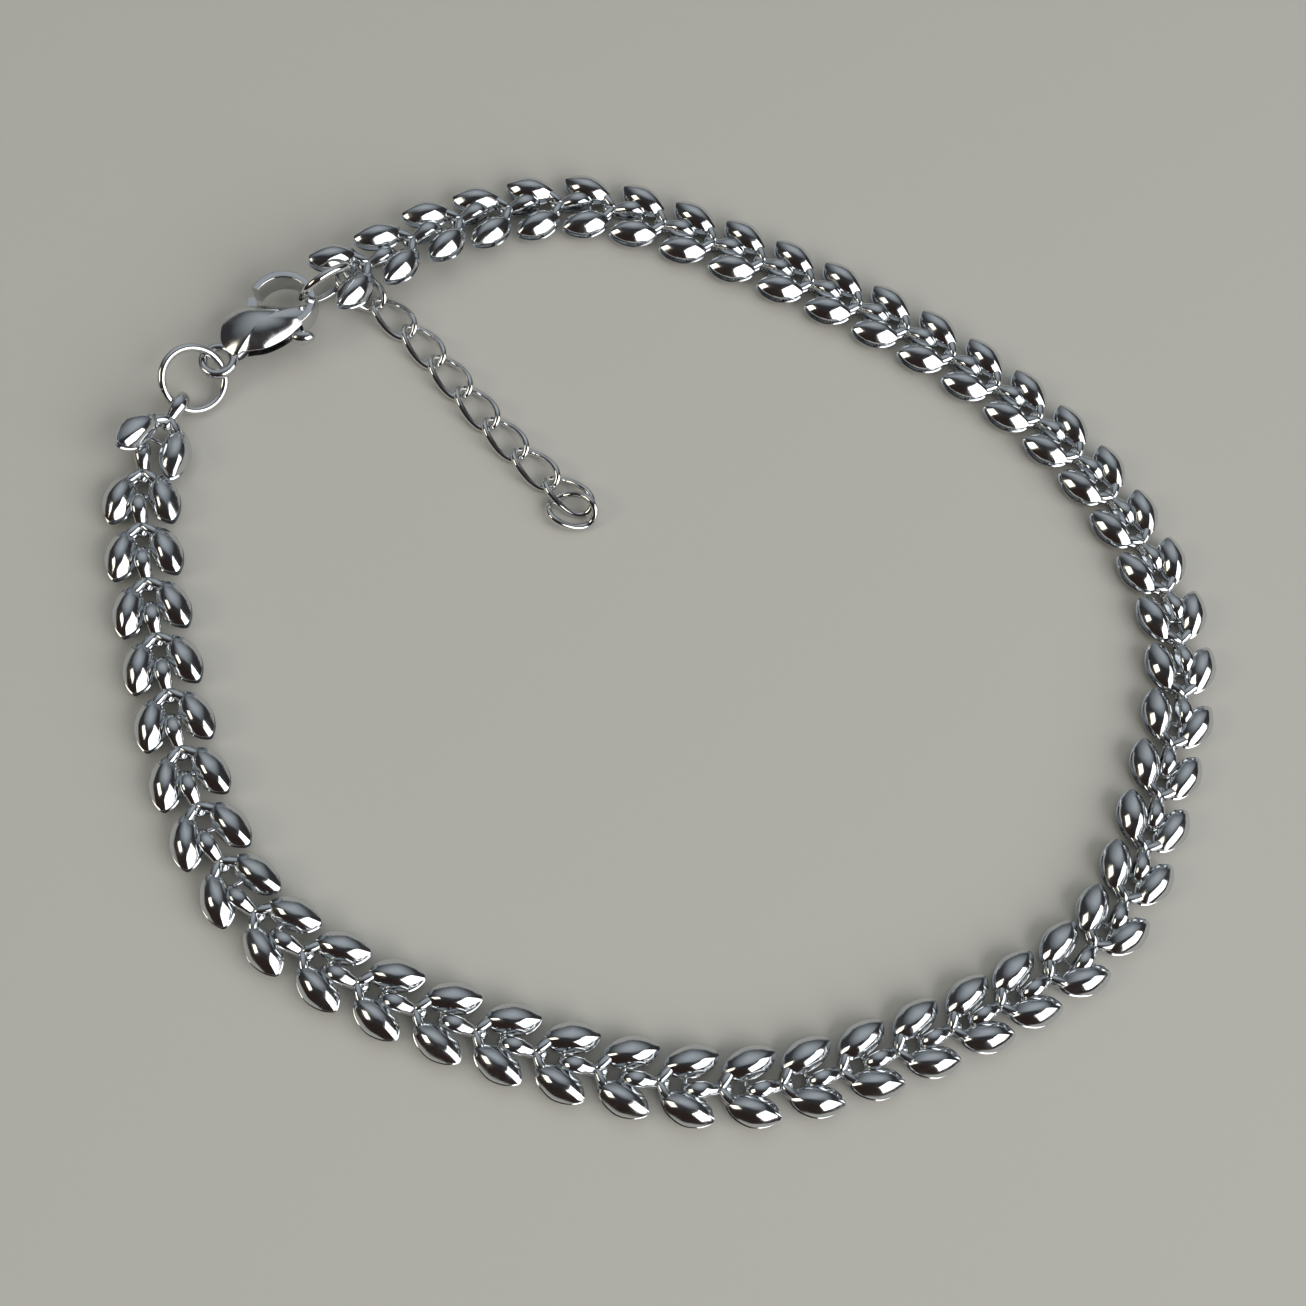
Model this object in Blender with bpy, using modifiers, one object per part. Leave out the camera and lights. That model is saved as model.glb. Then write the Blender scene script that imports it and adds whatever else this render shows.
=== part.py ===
"""Leaf link anklet, lying closed on a flat surface.

Fifty folded leaf links make the band.  A round start ring joins the first link to a sprung
clasp, and a second ring joins the last link and a nine link extender to the clasp's hook.
Lengths are in millimetres and become metres where a mesh or a location is made.  The frame is
+X right, +Y away, +Z up, and its origin is under the middle of the band at the surface.
"""
import math

import bmesh
import bpy
from mathutils import Matrix, Vector

MM = 0.001
WELD = 0.0000002

# Leaf chain
LINK_COUNT = 50
FIRST_RUN_COUNT = 22
LINK_PITCH = 4.45
RUN_SLACK = 0.28

LEAF_LENGTH = 4.75
LEAF_ANGLE = 27.9
LEAF_ROOT_X = -0.05
LEAF_ROOT_Y = 0.15
LEAF_OUTER_BULGE = 1.25
LEAF_INNER_BULGE = 0.5
# Columns: share of the leaf's length, share of the outer bulge, share of the inner bulge
UPPER_LEAF_SECTIONS = (
    (0.26, 0.68, 0.12),
    (0.60, 1.02, 0.90),
    (0.90, 0.62, 0.84),
)
LOWER_LEAF_SECTIONS = (
    (0.28, 0.70, 0.18),
    (0.79, 0.92, 1.00),
)

LINK_HEIGHT = 2.0
RIM_GAP = 0.5
SHOULDER_SHARE = 0.74
SHOULDER_SCALE = 0.60

STRAP_LENGTH = 2.85
STRAP_WIDTH = 0.9
STRAP_SHEET = 0.3
STRAP_CREST = 1.82
STRAP_BASE = 0.1
STRAP_OPENING = 1.04
NECK_TOP = 1.5
NECK_BASE = 0.42
NECK_FRONT = 0.35
NECK_BACK = 0.4
FOLD_CORNER = 0.32

BRIDGE_THICKNESS = 0.36
BRIDGE_BASE = 0.56
FOLD_BITE = 0.13

# Rings
RING_OUTER = 5.5
RING_WIRE = 0.62
RING_SEGMENTS = 16
WIRE_SIDES = 6

# Extender
EXTENDER_COUNT = 9
EXTENDER_PITCH = 3.44
EXTENDER_LENGTH = 4.7
EXTENDER_WIDTH = 2.75
EXTENDER_WIRE = 0.48
EXTENDER_TWIST = 0.44
EXTENDER_POINTS_PER_LINK = 12
END_LINK_LENGTH = 4.2
END_LINK_WIDTH = 3.1

# Clasp, in its own frame: X runs from the eye to the hook, Y towards the mouth, Z up.
# Places and outlines seen from above are shares of its length.
CLASP_LENGTH = 10.0
CLASP_THICKNESS = 2.4
CLASP_EDGE = 0.5
HOOK_HEIGHT = 1.7
HOOK_OUTER = 2.65
HOOK_BAND = 0.62
HOOK_CENTRE_X = 0.69 * CLASP_LENGTH
HOOK_CENTRE_Y = 0.035 * CLASP_LENGTH
HOOK_TIP_ANGLE = 112.0
HOOK_ROOT_ANGLE = -75.0
HOOK_STEPS = 12
EYE_RADIUS = 1.2
EYE_WIRE = 0.62
SLOT_HEIGHT = 0.76
PIVOT_X = 0.37 * CLASP_LENGTH
PIVOT_Y = 0.02 * CLASP_LENGTH
PIN_RADIUS = 0.4
PIN_CLEARANCE = 0.1
LEVER_THICKNESS = 0.56
KNOB_X = 0.615 * CLASP_LENGTH
KNOB_Y = -0.305 * CLASP_LENGTH
KNOB_RADIUS = 0.5
KNOB_HEIGHT = 1.4
# Outline of the domed body, seen from above
BODY_OUTLINE = (
    (0.11, 0.075), (0.21, 0.195), (0.31, 0.235), (0.41, 0.225), (0.50, 0.17), (0.61, 0.06),
    (0.74, -0.075), (0.82, -0.135), (0.76, -0.215), (0.66, -0.225), (0.50, -0.235),
    (0.33, -0.195), (0.20, -0.11), (0.11, -0.075),
)
# Outline of the level slot that the lever swings in
SLOT_OUTLINE = (
    (0.25, -0.35), (0.25, 0.32), (0.525, 0.32), (0.54, 0.20), (0.675, 0.04), (0.675, -0.35),
)
# Outline of the lever, from the mouth round the pin to the thumb knob
LEVER_OUTLINE = (
    (0.52, 0.25), (0.565, 0.21), (0.485, 0.10), (0.46, 0.01), (0.52, -0.09), (0.645, -0.275),
    (0.65, -0.31), (0.595, -0.33), (0.41, -0.075), (0.32, -0.055), (0.285, 0.02),
    (0.32, 0.085), (0.40, 0.11),
)

# Places of the pieces, in millimetres and degrees
CENTRE_X = 20.455
CENTRE_Y = 45.19
# Chosen points of the band's route, from the start ring to the extender ring
CHAIN_ROUTE = (
    (-18.7, 60.4), (-20.1, 56.2), (-20.0, 51.9), (-19.4, 47.4), (-18.0, 40.9), (-16.1, 33.2),
    (-13.7, 26.8), (-11.3, 22.9), (-7.9, 19.8), (-2.2, 16.4), (4.1, 13.8), (12.4, 10.9),
    (20.9, 9.2), (27.4, 9.4), (33.9, 11.0), (41.9, 13.9), (49.8, 17.9), (53.0, 21.1),
    (55.4, 25.0), (58.7, 33.0), (61.0, 39.5), (60.8, 45.9), (59.7, 50.1), (55.4, 58.0),
    (49.3, 64.5), (42.0, 69.8), (33.9, 74.2), (25.6, 78.0), (17.0, 81.0), (12.4, 81.3),
    (7.9, 80.4), (3.5, 78.6), (-0.1, 76.4), (-3.6, 74.0),
)
EXTENDER_ROUTE = (
    (-1.3, 70.4), (1.1, 67.9), (3.2, 65.2), (5.3, 62.5), (7.6, 59.7), (10.1, 57.0),
    (12.6, 54.8), (14.9, 53.2),
)
# Columns: link number, lift, roll about its length, rise of its tips, turn from the route
END_LINK_POSES = (
    (1, 0.59, -24.0, 8.4, -3.9), (47, 0.15, 3.0, 3.0, 0.0), (48, 0.75, 3.0, 6.5, 0.0),
    (49, 1.17, 1.6, 5.4, 0.0), (50, 1.426, -3.6, 9.6, -0.7),
)

START_RING_CENTRE = (-16.57, 63.83, 1.81)
START_RING_TILT = 33.7
START_RING_UPHILL = 128.7
CLASP_PLACE = (-14.76, 65.42, 1.9)
CLASP_HEADING = 42.0
CLASP_RISE = 3.2
CLASP_ROLL = -6.0
HOOK_RING_CENTRE = (-6.49, 71.958, 2.714)
HOOK_RING_HEADING = 33.7
HOOK_RING_LEAN = -10.1
FIRST_EXTENDER_PLACE = (-3.933, 72.514, 1.221)
FIRST_EXTENDER_HEADING = -31.3
FIRST_EXTENDER_PITCH = 11.4
FIRST_EXTENDER_ROLL = 9.1
LAST_EXTENDER_PLACE = (12.58, 53.62, 0.76)
LAST_EXTENDER_HEADING = -13.3
LAST_EXTENDER_ROLL = 10.5
LAST_EXTENDER_PITCH = -9.3

STEEL = (0.62, 0.64, 0.66)
STEEL_ROUGHNESS = 0.18
SMOOTH_ANGLE = math.radians(62)


def clear_scene():
    for item in list(bpy.data.objects):
        bpy.data.objects.remove(item, do_unlink=True)


def make_collection(name):
    collection = bpy.data.collections.new(name)
    bpy.context.scene.collection.children.link(collection)
    return collection


def steel_material(name):
    material = bpy.data.materials.new(name)
    material.use_nodes = True
    shader = material.node_tree.nodes["Principled BSDF"]
    shader.inputs["Base Color"].default_value = (*STEEL, 1.0)
    shader.inputs["Metallic"].default_value = 1.0
    shader.inputs["Roughness"].default_value = STEEL_ROUGHNESS
    return material


def mesh_object(name, mesh, collection):
    item = bpy.data.objects.new(name, mesh)
    collection.objects.link(item)
    return item


def baked_object(source, name, collection):
    """Turn a curve or a modified object into a plain closed mesh and drop the source."""
    bpy.context.view_layer.update()
    graph = bpy.context.evaluated_depsgraph_get()
    mesh = bpy.data.meshes.new_from_object(source.evaluated_get(graph))
    mesh.transform(source.matrix_world)
    work = bmesh.new()
    work.from_mesh(mesh)
    bmesh.ops.remove_doubles(work, verts=work.verts, dist=WELD)
    bmesh.ops.recalc_face_normals(work, faces=work.faces)
    work.to_mesh(mesh)
    work.free()
    bpy.data.objects.remove(source, do_unlink=True)
    return mesh_object(name, mesh, collection)


def shade_round(item):
    """Shade the curved faces smooth and keep the real edges sharp."""
    item.data.shade_smooth()
    item.data.set_sharp_from_angle(angle=SMOOTH_ANGLE)


def boolean_result(base, tools, operation, collection):
    """Apply one exact Boolean after another and return a plain mesh object."""
    for tool in tools:
        modifier = base.modifiers.new("cut", "BOOLEAN")
        modifier.operation = operation
        modifier.solver = "EXACT"
        modifier.object = tool
    result = baked_object(base, base.name, collection)
    for tool in tools:
        bpy.data.objects.remove(tool, do_unlink=True)
    return result


def outline_solid(name, outlines, thickness, collection):
    """A flat outline, the first one solid and any other a hole, with half the thickness each way."""
    curve = bpy.data.curves.new(name, "CURVE")
    curve.dimensions = "2D"
    curve.fill_mode = "BOTH"
    curve.extrude = thickness / 2 * MM
    for outline in outlines:
        spline = curve.splines.new("POLY")
        spline.points.add(len(outline) - 1)
        spline.use_cyclic_u = True
        for point, (x, y) in zip(spline.points, outline):
            point.co = (x * MM, y * MM, 0.0, 1.0)
    return mesh_object(name, curve, collection)


def clasp_outline(shares):
    return [(x * CLASP_LENGTH, y * CLASP_LENGTH) for x, y in shares]


def cylinder(name, radius, height, x, y, sides, collection):
    bpy.ops.mesh.primitive_cylinder_add(
        vertices=sides, radius=radius * MM, depth=height * MM, location=(x * MM, y * MM, 0.0))
    item = bpy.context.object
    item.name = name
    for owner in list(item.users_collection):
        owner.objects.unlink(item)
    collection.objects.link(item)
    return baked_object(item, name, collection)


def wire_loop(name, centreline, wire, collection):
    """A closed wire through the given points, in millimetres."""
    curve = bpy.data.curves.new(name, "CURVE")
    curve.dimensions = "3D"
    curve.bevel_depth = wire / 2 * MM
    curve.bevel_resolution = 1
    spline = curve.splines.new("POLY")
    spline.points.add(len(centreline) - 1)
    spline.use_cyclic_u = True
    for point, place in zip(spline.points, centreline):
        point.co = (*(Vector(place) * MM), 1.0)
    return baked_object(mesh_object(name, curve, collection), name, collection)


def smooth_route(points, steps=24):
    """A smooth line through the chosen points, cut fine enough to walk along."""
    points = [Vector((x, y)) for x, y in points]
    first = points[0] * 2 - points[1]
    last = points[-1] * 2 - points[-2]
    points = [first, *points, last]
    line = []
    for before, start, end, after in zip(points, points[1:], points[2:], points[3:]):
        for step in range(steps):
            t = step / steps
            line.append(0.5 * (2 * start + (end - before) * t
                               + (2 * before - 5 * start + 4 * end - after) * t ** 2
                               + (3 * start - before - 3 * end + after) * t ** 3))
    line.append(points[-2])
    direction = (points[-1] - points[-2]).normalized()
    line.append(points[-2] + direction * 2 * LINK_PITCH)
    return line


def walk_route(line, distance):
    """Place on the line at a distance from its start."""
    travelled = 0.0
    for start, end in zip(line, line[1:]):
        length = (end - start).length
        if travelled + length >= distance:
            return start.lerp(end, (distance - travelled) / length)
        travelled += length
    return line[-1]


def placed(x, y, z, heading, roll=0.0, pitch=0.0):
    """Matrix of a piece: its place in millimetres, then its heading, pitch and roll."""
    turn = (Matrix.Rotation(math.radians(heading), 4, "Z")
            @ Matrix.Rotation(math.radians(pitch), 4, "Y")
            @ Matrix.Rotation(math.radians(roll), 4, "X"))
    return Matrix.Translation(Vector((x - CENTRE_X, y - CENTRE_Y, z)) * MM) @ turn


def leaf_outline(side, sections):
    """Corner points of one leaf; side is 1 for the left leaf and -1 for the right one."""
    angle = math.radians(LEAF_ANGLE)
    along = Vector((math.cos(angle), math.sin(angle)))
    outward = Vector((-math.sin(angle), math.cos(angle)))
    root = Vector((LEAF_ROOT_X, LEAF_ROOT_Y))
    outer = [root + along * LEAF_LENGTH * share + outward * LEAF_OUTER_BULGE * out
             for share, out, _ in sections]
    inner = [root + along * LEAF_LENGTH * share - outward * LEAF_INNER_BULGE * inside
             for share, _, inside in sections]
    tip = root + along * LEAF_LENGTH
    outline = [root, *inner, tip, *reversed(outer)]
    return [Vector((point.x, point.y * side)) for point in outline]


def leaf_dome(name, side, upward, collection):
    """One leaf: a flat face at the rim that rises to a shoulder and, on top, to a crown."""
    rim = (LINK_HEIGHT + RIM_GAP) / 2 if upward else (LINK_HEIGHT - RIM_GAP) / 2
    rise = LINK_HEIGHT - rim if upward else -rim
    sections = UPPER_LEAF_SECTIONS if upward else LOWER_LEAF_SECTIONS
    work = bmesh.new()
    corners = [work.verts.new((*(point * MM), rim * MM)) for point in leaf_outline(side, sections)]
    base = work.faces.new(corners)
    centre = base.calc_center_median()
    grown = bmesh.ops.extrude_face_region(work, geom=[base], use_keep_orig=True)
    shoulder = [item for item in grown["geom"] if isinstance(item, bmesh.types.BMVert)]
    share = SHOULDER_SHARE if upward else 1.0
    bmesh.ops.scale(work, verts=shoulder, vec=(SHOULDER_SCALE, SHOULDER_SCALE, 1.0),
                    space=Matrix.Translation(-centre))
    bmesh.ops.translate(work, verts=shoulder, vec=(0.0, 0.0, rise * share * MM))
    if upward:
        crown = [item for item in grown["geom"] if isinstance(item, bmesh.types.BMFace)]
        bmesh.ops.poke(work, faces=crown)
        apex = max(work.verts, key=lambda vert: len(vert.link_edges))
        apex.co.z = LINK_HEIGHT * MM
    bmesh.ops.recalc_face_normals(work, faces=work.faces)
    mesh = bpy.data.meshes.new(name)
    work.to_mesh(mesh)
    work.free()
    return mesh_object(name, mesh, collection)


def folded_strap(collection):
    """The strap that runs back from the neck and folds under itself, seen from the side."""
    back = -STRAP_LENGTH
    crest = -STRAP_LENGTH / 2
    middle = (STRAP_CREST + STRAP_BASE) / 2
    outer = (
        (NECK_FRONT, NECK_TOP), (crest, STRAP_CREST), (back, STRAP_CREST - FOLD_CORNER),
        (back, STRAP_BASE + FOLD_CORNER), (crest, STRAP_BASE), (NECK_FRONT, NECK_BASE),
    )
    inner_back = back + STRAP_SHEET
    inner = (
        (-NECK_BACK, middle + STRAP_OPENING * 0.4), (inner_back, middle + STRAP_OPENING / 2),
        (inner_back, middle - STRAP_OPENING / 2), (-NECK_BACK, middle - STRAP_OPENING * 0.4),
    )
    strap = outline_solid("strap", (outer, inner), STRAP_WIDTH, collection)
    strap.rotation_euler = (math.radians(90), 0.0, 0.0)
    return baked_object(strap, "strap", collection)


def leaf_bridge(collection):
    """The bar between the two lower leaves that the next link's strap folds around."""
    front = LINK_PITCH - STRAP_LENGTH + STRAP_SHEET - FOLD_BITE
    reach = (LEAF_ROOT_Y + (front + BRIDGE_THICKNESS) * math.tan(math.radians(LEAF_ANGLE))) * 2
    bpy.ops.mesh.primitive_cube_add(
        size=1.0, location=Vector((front + BRIDGE_THICKNESS / 2, 0.0,
                                   BRIDGE_BASE + BRIDGE_THICKNESS / 2)) * MM)
    bar = bpy.context.object
    bar.scale = Vector((BRIDGE_THICKNESS, reach, BRIDGE_THICKNESS)) * MM
    for owner in list(bar.users_collection):
        owner.objects.unlink(bar)
    collection.objects.link(bar)
    return baked_object(bar, "bridge", collection)


def link_shape(collection):
    """One whole link: folded strap, four leaves and the bridge, joined into one body."""
    leaves = [leaf_dome(f"leaf_{side}_{upward}", side, upward, collection)
              for side in (1, -1) for upward in (True, False)]
    return boolean_result(folded_strap(collection), [*leaves, leaf_bridge(collection)],
                          "UNION", collection)


def link_matrix(line, number):
    """Place of a link on the route; its heading runs from its neck to the next neck."""
    slack = RUN_SLACK if number > FIRST_RUN_COUNT else 0.0
    distance = (number - 1) * LINK_PITCH - slack
    neck = walk_route(line, distance)
    ahead = walk_route(line, distance + LINK_PITCH)
    heading = math.degrees(math.atan2(ahead.y - neck.y, ahead.x - neck.x))
    lift = roll = rise = turn = 0.0
    for end_number, *pose in END_LINK_POSES:
        if number == end_number:
            lift, roll, rise, turn = pose
    return placed(neck.x, neck.y, lift, heading + turn, roll, -rise)


def joined_links(name, link, matrices, collection):
    work = bmesh.new()
    for matrix in matrices:
        copy = link.data.copy()
        copy.transform(matrix)
        work.from_mesh(copy)
        bpy.data.meshes.remove(copy)
    mesh = bpy.data.meshes.new(name)
    work.to_mesh(mesh)
    work.free()
    return mesh_object(name, mesh, collection)


def chain_run(name, link, numbers, line, collection, workshop):
    """A run of links fused into one body: every second link joined to the ones between."""
    matrices = [link_matrix(line, number) for number in numbers]
    run = joined_links(name, link, matrices[0::2], workshop)
    others = joined_links(name + "_between", link, matrices[1::2], workshop)
    fused = boolean_result(run, [others], "UNION", collection)
    fused.data.materials.append(steel_material(name))
    return fused


def ring(name, matrix, collection):
    """A round jump ring, made flat at the origin and then placed."""
    radius = (RING_OUTER - RING_WIRE) / 2
    bpy.ops.mesh.primitive_torus_add(
        major_segments=RING_SEGMENTS, minor_segments=WIRE_SIDES,
        major_radius=radius * MM, minor_radius=RING_WIRE / 2 * MM)
    item = bpy.context.object
    item.name = name
    item.matrix_world = matrix
    for owner in list(item.users_collection):
        owner.objects.unlink(item)
    collection.objects.link(item)
    item.data.materials.append(steel_material(name))
    shade_round(item)
    return item


def start_ring(collection):
    x, y, z = START_RING_CENTRE
    return ring("jump_ring_start", placed(x, y, z, START_RING_UPHILL, pitch=-START_RING_TILT), collection)


def hook_ring(collection):
    x, y, z = HOOK_RING_CENTRE
    return ring("jump_ring_end", placed(x, y, z, HOOK_RING_HEADING, roll=90.0 - HOOK_RING_LEAN), collection)


def curb_centreline(length, width):
    """An oval whose sides rise and fall, so that flat lying links pass through each other."""
    half_length = (length - EXTENDER_WIRE) / 2
    half_width = (width - EXTENDER_WIRE) / 2
    angles = [2 * math.pi * step / EXTENDER_POINTS_PER_LINK for step in range(EXTENDER_POINTS_PER_LINK)]
    return [(half_length * math.cos(angle), half_width * math.sin(angle),
             EXTENDER_TWIST * math.sin(2 * angle)) for angle in angles]


def extender_matrices():
    x, y, z = FIRST_EXTENDER_PLACE
    matrices = [placed(x, y, z, FIRST_EXTENDER_HEADING, FIRST_EXTENDER_ROLL, FIRST_EXTENDER_PITCH)]
    line = smooth_route(EXTENDER_ROUTE)
    rest = EXTENDER_TWIST + EXTENDER_WIRE / 2
    for step in range(EXTENDER_COUNT - 2):
        middle = walk_route(line, step * EXTENDER_PITCH)
        ahead = walk_route(line, (step + 0.5) * EXTENDER_PITCH)
        heading = math.degrees(math.atan2(ahead.y - middle.y, ahead.x - middle.x))
        matrices.append(placed(middle.x, middle.y, rest, heading))
    x, y, z = LAST_EXTENDER_PLACE
    matrices.append(placed(x, y, z, LAST_EXTENDER_HEADING, LAST_EXTENDER_ROLL, LAST_EXTENDER_PITCH))
    return matrices


def extender(collection):
    for number, matrix in enumerate(extender_matrices(), start=1):
        name = f"extender_link_{number}"
        last = number == EXTENDER_COUNT
        length = END_LINK_LENGTH if last else EXTENDER_LENGTH
        width = END_LINK_WIDTH if last else EXTENDER_WIDTH
        link = wire_loop(name, curb_centreline(length, width), EXTENDER_WIRE, collection)
        link.matrix_world = matrix
        link.data.materials.append(steel_material(name))
        shade_round(link)


def hook_outline():
    """The open ring of the hook, from its free tip round to where it grows out of the body."""
    start = math.radians(HOOK_TIP_ANGLE)
    sweep = math.radians(HOOK_ROOT_ANGLE - HOOK_TIP_ANGLE)
    angles = [start + sweep * step / HOOK_STEPS for step in range(HOOK_STEPS + 1)]
    inner = HOOK_OUTER - HOOK_BAND
    arc = [(HOOK_CENTRE_X + HOOK_OUTER * math.cos(a), HOOK_CENTRE_Y + HOOK_OUTER * math.sin(a))
           for a in angles]
    back = [(HOOK_CENTRE_X + inner * math.cos(a), HOOK_CENTRE_Y + inner * math.sin(a))
            for a in reversed(angles)]
    return arc + back


def clasp_matrix():
    x, y, z = CLASP_PLACE
    return placed(x, y, z, CLASP_HEADING, CLASP_ROLL, -CLASP_RISE)


def clasp_body(collection, workshop):
    """Body, hook, eye and pin as one casting, with the lever's slot cut through."""
    body = outline_solid("body", (clasp_outline(BODY_OUTLINE),), CLASP_THICKNESS, workshop)
    body = baked_object(body, "body", workshop)
    edge = body.modifiers.new("rounded", "BEVEL")
    edge.width = CLASP_EDGE * MM
    edge.segments = 1
    edge.limit_method = "ANGLE"
    edge.angle_limit = math.radians(60)
    body = baked_object(body, "clasp_body", workshop)
    hook = outline_solid("hook", (hook_outline(),), HOOK_HEIGHT, workshop)
    hook = baked_object(hook, "hook", workshop)
    bpy.ops.mesh.primitive_torus_add(
        major_segments=16, minor_segments=WIRE_SIDES,
        major_radius=EYE_RADIUS * MM, minor_radius=EYE_WIRE / 2 * MM)
    eye = baked_object(bpy.context.object, "eye", workshop)
    slot = outline_solid("slot", (clasp_outline(SLOT_OUTLINE),), SLOT_HEIGHT, workshop)
    slot = baked_object(slot, "slot", workshop)
    pin_height = CLASP_THICKNESS - CLASP_EDGE
    pin = cylinder("pin", PIN_RADIUS, pin_height, PIVOT_X, PIVOT_Y, 12, workshop)
    body = boolean_result(body, [slot], "DIFFERENCE", workshop)
    body = boolean_result(body, [hook, eye, pin], "UNION", collection)
    body.matrix_world = clasp_matrix()
    body.data.materials.append(steel_material("clasp_body"))
    shade_round(body)
    return body


def clasp_lever(collection, workshop):
    """The sprung lever: gate at the mouth, eye on the pin, and a thumb knob outside the body."""
    outline = [(x - PIVOT_X, y - PIVOT_Y) for x, y in clasp_outline(LEVER_OUTLINE)]
    lever = outline_solid("clasp_lever", (outline,), LEVER_THICKNESS, workshop)
    lever = baked_object(lever, "clasp_lever", workshop)
    knob = cylinder("knob", KNOB_RADIUS, KNOB_HEIGHT, KNOB_X - PIVOT_X, KNOB_Y - PIVOT_Y, 12, workshop)
    hole = cylinder("hole", PIN_RADIUS + PIN_CLEARANCE, LEVER_THICKNESS * 3, 0.0, 0.0, 12, workshop)
    lever = boolean_result(lever, [knob], "UNION", workshop)
    lever = boolean_result(lever, [hole], "DIFFERENCE", collection)
    pivot = bpy.data.objects.new("lever_pivot", None)
    collection.objects.link(pivot)
    pivot.matrix_world = clasp_matrix() @ Matrix.Translation(Vector((PIVOT_X, PIVOT_Y, 0.0)) * MM)
    lever.parent = pivot
    lever.data.materials.append(steel_material("clasp_lever"))
    shade_round(lever)
    return lever


def main():
    clear_scene()
    parts = make_collection("anklet")
    workshop = make_collection("workshop")
    line = smooth_route(CHAIN_ROUTE)
    link = link_shape(workshop)
    chain_run("leaf_chain_a", link, range(1, FIRST_RUN_COUNT + 1), line, parts, workshop)
    chain_run("leaf_chain_b", link, range(FIRST_RUN_COUNT + 1, LINK_COUNT + 1), line, parts, workshop)
    bpy.data.objects.remove(link, do_unlink=True)
    start_ring(parts)
    hook_ring(parts)
    clasp_body(parts, workshop)
    clasp_lever(parts, workshop)
    extender(parts)


main()
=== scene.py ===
# %% [markdown]
# # A leaf link anklet in polished steel
#
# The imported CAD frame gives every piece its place.  This lesson models each piece again at the
# finish that a close photograph shows, keeps the same route and the same sizes, and lights the
# anklet so that the small domes carry crisp window shaped highlights.

import math

import bmesh
import bpy
from mathutils import Matrix, Vector


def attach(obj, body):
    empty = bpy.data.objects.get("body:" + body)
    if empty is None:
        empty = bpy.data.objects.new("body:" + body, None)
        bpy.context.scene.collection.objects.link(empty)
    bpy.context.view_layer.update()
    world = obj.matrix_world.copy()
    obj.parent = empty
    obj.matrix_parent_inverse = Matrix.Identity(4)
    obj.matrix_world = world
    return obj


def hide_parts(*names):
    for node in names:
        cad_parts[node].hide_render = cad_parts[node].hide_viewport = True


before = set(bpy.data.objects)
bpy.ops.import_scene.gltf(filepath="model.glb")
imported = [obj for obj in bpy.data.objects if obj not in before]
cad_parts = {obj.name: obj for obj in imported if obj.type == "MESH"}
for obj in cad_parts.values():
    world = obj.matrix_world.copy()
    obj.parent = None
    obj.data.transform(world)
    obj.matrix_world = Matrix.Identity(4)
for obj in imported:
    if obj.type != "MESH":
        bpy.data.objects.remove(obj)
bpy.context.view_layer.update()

MM = 0.001
CENTRE_X = 20.455
CENTRE_Y = 45.19


# %% [markdown]
# ## Small helpers
#
# Every piece is built in millimetres with bmesh, moved to its place in the mesh itself, and
# linked as one finished object.  The objects then stay at the origin, unturned and unscaled.
# Outlines, the strap and both routes are all smooth curves, so one formula serves them: a
# Catmull-Rom curve, which passes through every point that it is given.

# %% Helpers for placing and finishing
def curve_point(before, start, end, after, t):
    """A point of a Catmull-Rom curve, at the share t of the way from start to end."""
    return 0.5 * (2 * start + (end - before) * t
                  + (2 * before - 5 * start + 4 * end - after) * t ** 2
                  + (3 * start - before - 3 * end + after) * t ** 3)


def placed(x, y, z, heading, roll=0.0, pitch=0.0):
    """Matrix of a piece, in millimetres: its place, then its heading, pitch and roll in degrees."""
    turn = (Matrix.Rotation(math.radians(heading), 4, "Z")
            @ Matrix.Rotation(math.radians(pitch), 4, "Y")
            @ Matrix.Rotation(math.radians(roll), 4, "X"))
    return Matrix.Translation((x - CENTRE_X, y - CENTRE_Y, z)) @ turn


def mesh_from(work, name):
    """Close the bmesh as a mesh with outward faces, smooth but for its real edges."""
    bmesh.ops.recalc_face_normals(work, faces=work.faces)
    # The order of bmesh's faces changes from run to run, so the list is sorted
    work.verts.index_update()
    faces = sorted([vert.index for vert in face.verts] for face in work.faces)
    mesh = bpy.data.meshes.new(name)
    mesh.from_pydata([vert.co for vert in work.verts], [], faces)
    work.free()
    mesh.shade_smooth()
    mesh.set_sharp_from_angle(angle=math.radians(38))
    return mesh


def finished(name, meshes, material, body, node):
    """Join (mesh, matrix) pairs into one object in metres that stands for a CAD node."""
    work = bmesh.new()
    for mesh, matrix in meshes:
        copy = mesh.copy()
        copy.transform(Matrix.Scale(MM, 4) @ matrix)
        work.from_mesh(copy)
        bpy.data.meshes.remove(copy)
    whole = bpy.data.meshes.new(name)
    work.to_mesh(whole)
    work.free()
    whole.materials.append(material)
    item = bpy.data.objects.new(name, whole)
    bpy.context.scene.collection.objects.link(item)
    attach(item, body)
    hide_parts(node)
    print(name, "has", len(whole.polygons), "faces")
    return item


# %% [markdown]
# ## Polished steel
#
# The metal is stainless steel that was tumbled to a mirror.  A mirror has almost no colour of
# its own, so the look comes from a low roughness and from what stands around it.  Real wear is
# still there: hairline scratches and slightly dull patches from handling.  A stretched noise
# drives the roughness and a very small bump, both in object coordinates, so that they stay on
# the metal when the camera or the lever moves.

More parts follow.
